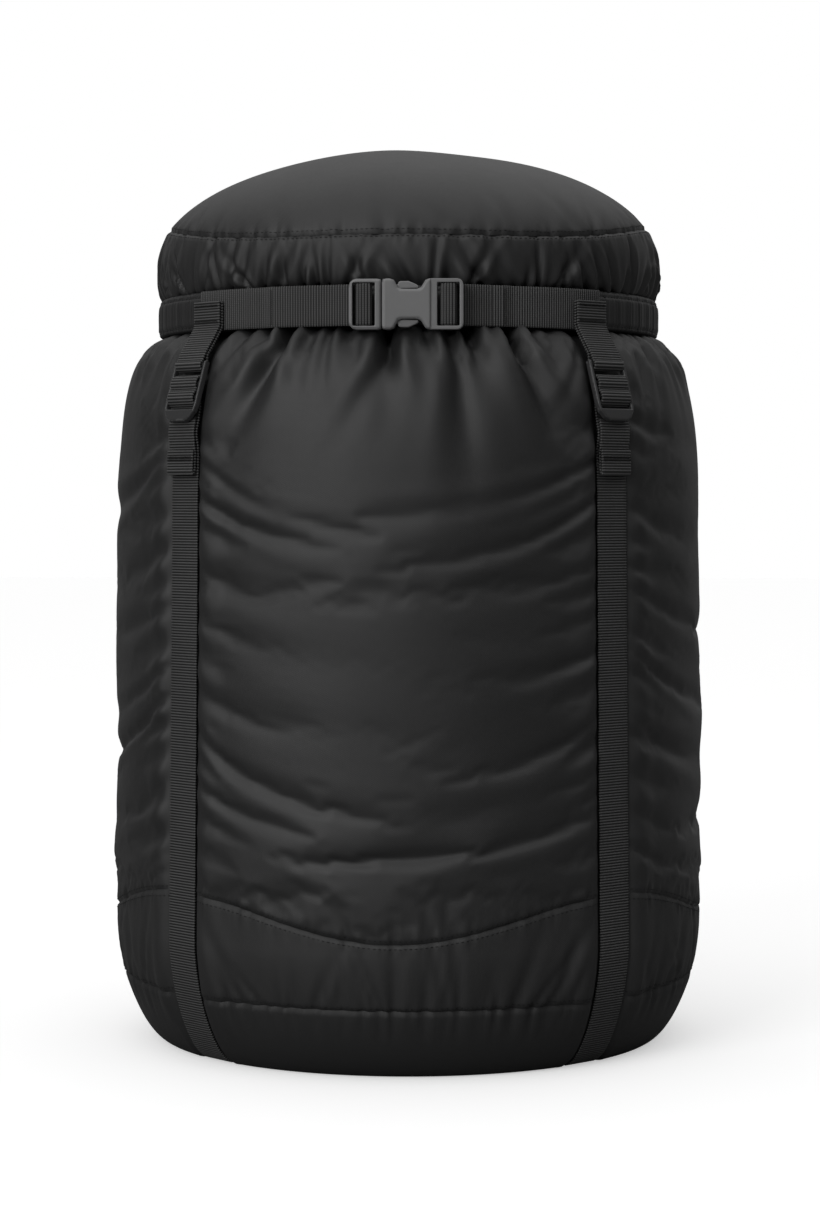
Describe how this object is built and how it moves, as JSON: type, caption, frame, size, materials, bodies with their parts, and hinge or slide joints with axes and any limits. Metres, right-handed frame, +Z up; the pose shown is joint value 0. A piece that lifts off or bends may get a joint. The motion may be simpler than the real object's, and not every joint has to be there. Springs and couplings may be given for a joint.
{
  "type": "compression stuff sack",
  "caption": "Round cloth stuff sack with a domed lid held by webbing straps through ladder locks, and a belt with a side release buckle round the lid's hem.",
  "frame": {"origin": "on the ground, under the middle of the round base", "axes": "+Z up through the middle of the lid, -Y towards the front with the buckle, +X to the right of someone facing the front"},
  "size_m": [0.3078, 0.3078, 0.463],
  "materials": {
    "cloth": "matte woven nylon with a faint sheen",
    "boot_cloth": "matte woven nylon, slightly darker",
    "webbing": "ribbed nylon webbing",
    "hardware_plastic": "satin moulded acetal",
    "elastic": "covered elastic",
    "eyelet_metal": "black painted brass"
  },
  "bodies": {
    "sack": {"base_panel": "boot_cloth", "boot_band": "boot_cloth", "sack_wall": "cloth", "strap_front_left_to_back_right": "webbing", "strap_front_right_to_back_left": "webbing"},
    "lid": {"throat_collar": "cloth", "collar_eyelet": "eyelet_metal", "lid_top_panel": "cloth", "lid_side_band": "cloth", "lid_hem": "cloth", "hem_elastic": "elastic", "lid_strap_front_left": "webbing", "lid_strap_front_right": "webbing", "lid_strap_back_right": "webbing", "lid_strap_back_left": "webbing", "belt_left": "webbing", "belt_right": "webbing", "buckle_socket": "hardware_plastic"},
    "lock_front_left": {"ladder_lock_front_left": "hardware_plastic"},
    "end_front_left": {"strap_end_front_left": "webbing"},
    "lock_front_right": {"ladder_lock_front_right": "hardware_plastic"},
    "end_front_right": {"strap_end_front_right": "webbing"},
    "lock_back_right": {"ladder_lock_back_right": "hardware_plastic"},
    "end_back_right": {"strap_end_back_right": "webbing"},
    "lock_back_left": {"ladder_lock_back_left": "hardware_plastic"},
    "end_back_left": {"strap_end_back_left": "webbing"},
    "plug": {"buckle_plug": "hardware_plastic"},
    "arm_upper": {"plug_arm_upper": "hardware_plastic"},
    "arm_lower": {"plug_arm_lower": "hardware_plastic"}
  },
  "joints": [
    {"name": "lid_travel", "type": "slide", "parent": "sack", "child": "lid", "axis": [0, 0, 1], "range_m": [-0.1, 0.014], "deforming": ["sack_wall", "strap_front_left_to_back_right", "strap_front_right_to_back_left"]},
    {"name": "lock_tilt_front_left", "type": "hinge", "parent": "lid", "child": "lock_front_left", "pos_m": [-0.10212, -0.10392, 0.348], "axis": [-0.7133, 0.7009, 0], "range_deg": [0, 35]},
    {"name": "strap_run_front_left", "type": "slide", "parent": "lid", "child": "end_front_left", "axis": [-0.0385, -0.0392, -0.9985], "range_m": [-0.014, 0.1]},
    {"name": "lock_tilt_front_right", "type": "hinge", "parent": "lid", "child": "lock_front_right", "pos_m": [0.10212, -0.10392, 0.348], "axis": [-0.7133, -0.7009, 0], "range_deg": [0, 35]},
    {"name": "strap_run_front_right", "type": "slide", "parent": "lid", "child": "end_front_right", "axis": [0.0385, -0.0392, -0.9985], "range_m": [-0.014, 0.1]},
    {"name": "lock_tilt_back_right", "type": "hinge", "parent": "lid", "child": "lock_back_right", "pos_m": [0.10212, 0.10392, 0.348], "axis": [0.7133, -0.7009, 0], "range_deg": [0, 35]},
    {"name": "strap_run_back_right", "type": "slide", "parent": "lid", "child": "end_back_right", "axis": [0.0385, 0.0392, -0.9985], "range_m": [-0.014, 0.1]},
    {"name": "lock_tilt_back_left", "type": "hinge", "parent": "lid", "child": "lock_back_left", "pos_m": [-0.10212, 0.10392, 0.348], "axis": [0.7133, 0.7009, 0], "range_deg": [0, 35]},
    {"name": "strap_run_back_left", "type": "slide", "parent": "lid", "child": "end_back_left", "axis": [-0.0385, 0.0392, -0.9985], "range_m": [-0.014, 0.1]},
    {"name": "buckle_release", "type": "slide", "parent": "lid", "child": "plug", "axis": [-1, 0, 0], "range_m": [0, 0.024], "deforming": ["belt_left", "plug_arm_upper", "plug_arm_lower"]},
    {"name": "arm_squeeze_upper", "type": "hinge", "parent": "plug", "child": "arm_upper", "pos_m": [-0.0048, -0.1385, 0.3837], "axis": [0, 1, 0], "range_deg": [0, 12], "stiffness_Nm_per_rad": 0.03},
    {"name": "arm_squeeze_lower", "type": "hinge", "parent": "plug", "child": "arm_lower", "pos_m": [-0.0048, -0.1385, 0.3677], "axis": [0, -1, 0], "range_deg": [0, 12], "stiffness_Nm_per_rad": 0.03}
  ],
  "couplings": [
    {"joint": "strap_run_front_left", "follows": "lid_travel", "ratio": -1},
    {"joint": "strap_run_front_right", "follows": "lid_travel", "ratio": -1},
    {"joint": "strap_run_back_right", "follows": "lid_travel", "ratio": -1},
    {"joint": "strap_run_back_left", "follows": "lid_travel", "ratio": -1},
    {"joint": "arm_squeeze_lower", "follows": "arm_squeeze_upper", "ratio": 1}
  ]
}
